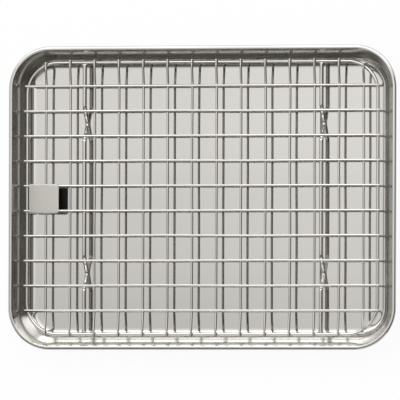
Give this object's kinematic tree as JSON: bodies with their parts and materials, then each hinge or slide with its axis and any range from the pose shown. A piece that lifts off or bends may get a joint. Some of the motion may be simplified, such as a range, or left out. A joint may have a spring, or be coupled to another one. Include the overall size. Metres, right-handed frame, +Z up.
{
  "type": "sheet pan with rack",
  "caption": "Shallow rounded-corner baking pan with a rolled edge, and a welded wire rack that stands on its floor on bent feet and lifts straight out.",
  "frame": {"origin": "middle of the pan's underside, on the surface it rests on", "axes": "+X along the pan's length, away from the end with the rack's tag; +Y along its width; +Z up"},
  "size_m": [0.318, 0.243, 0.025],
  "materials": {
    "pan_steel": "polished stainless, close to a mirror",
    "wire_steel": "electropolished stainless wire",
    "tag_steel": "matte stainless sheet"
  },
  "bodies": {
    "pan": {"pan": "pan_steel"},
    "rack": {"rack_frame": "wire_steel", "long_wire_01": "wire_steel", "long_wire_02": "wire_steel", "long_wire_03": "wire_steel", "long_wire_04": "wire_steel", "long_wire_05": "wire_steel", "long_wire_06": "wire_steel", "long_wire_07": "wire_steel", "long_wire_08": "wire_steel", "long_wire_09": "wire_steel", "long_wire_10": "wire_steel", "short_wire_01": "wire_steel", "short_wire_02": "wire_steel", "short_wire_03": "wire_steel", "short_wire_04": "wire_steel", "short_wire_05": "wire_steel", "short_wire_06": "wire_steel", "short_wire_07": "wire_steel", "short_wire_08": "wire_steel", "short_wire_09": "wire_steel", "short_wire_10": "wire_steel", "short_wire_11": "wire_steel", "short_wire_12": "wire_steel", "short_wire_13": "wire_steel", "short_wire_14": "wire_steel", "leg_wire_left": "wire_steel", "leg_wire_right": "wire_steel", "rack_tag": "tag_steel"}
  },
  "joints": [
    {"name": "rack_lift", "type": "slide", "parent": "pan", "child": "rack", "axis": [0, 0, 1], "range_m": [0, 0.06]}
  ]
}
